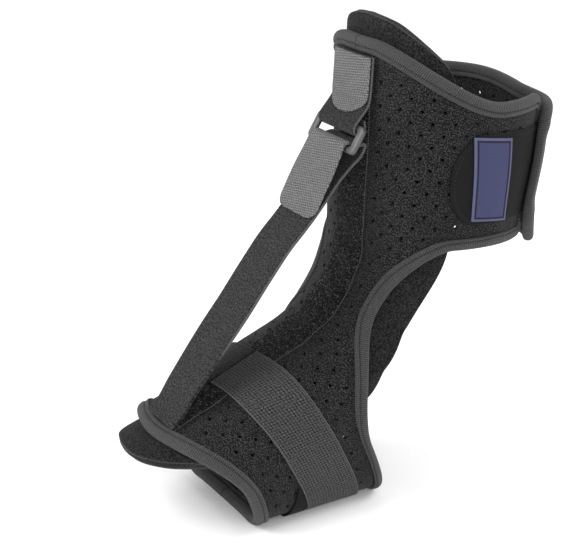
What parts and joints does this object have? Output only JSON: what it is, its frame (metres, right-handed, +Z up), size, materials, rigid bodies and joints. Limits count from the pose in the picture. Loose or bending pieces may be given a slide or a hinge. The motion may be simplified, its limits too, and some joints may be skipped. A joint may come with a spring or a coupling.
{
  "type": "plantar fasciitis night splint",
  "caption": "Dorsal foot night splint: padded wrap over shin and instep, bound edges, calf and sole closures, and a lift strap from the toe edge to a ring on the shin.",
  "frame": {"origin": "middle of the footprint, on the surface that the foot wrap stands on", "axes": "+Z up along the shin, -Y towards the toes, +X towards the outer ankle side with the calf tab"},
  "size_m": [0.124, 0.2696, 0.295],
  "materials": {
    "cover_cloth": "speckled charcoal loop cloth on foam",
    "liner_cloth": "brushed dark cloth",
    "fleece": "short dark pile",
    "binding_tape": "ribbed grey tape",
    "tab_cloth": "smooth near-black cloth",
    "patch_cloth": "woven navy cloth, bare",
    "band_elastic": "grid-woven elastic",
    "hook_tape": "light grey hook tape",
    "loop_strap": "dark speckled loop webbing",
    "ring_plastic": "satin moulded plastic"
  },
  "bodies": {
    "root": {"cover": "cover_cloth", "foam_liner": "liner_cloth", "middle_panel": "fleece", "near_binding": "binding_tape", "far_binding": "binding_tape", "toe_binding": "binding_tape", "calf_tab": "tab_cloth", "blank_patch": "patch_cloth", "instep_band": "band_elastic", "band_tab": "tab_cloth", "sole_tab": "tab_cloth", "top_tab": "hook_tape", "ring_strap": "loop_strap", "lift_strap": "loop_strap", "strap_tab": "hook_tape", "ring": "ring_plastic"}
  },
  "joints": []
}
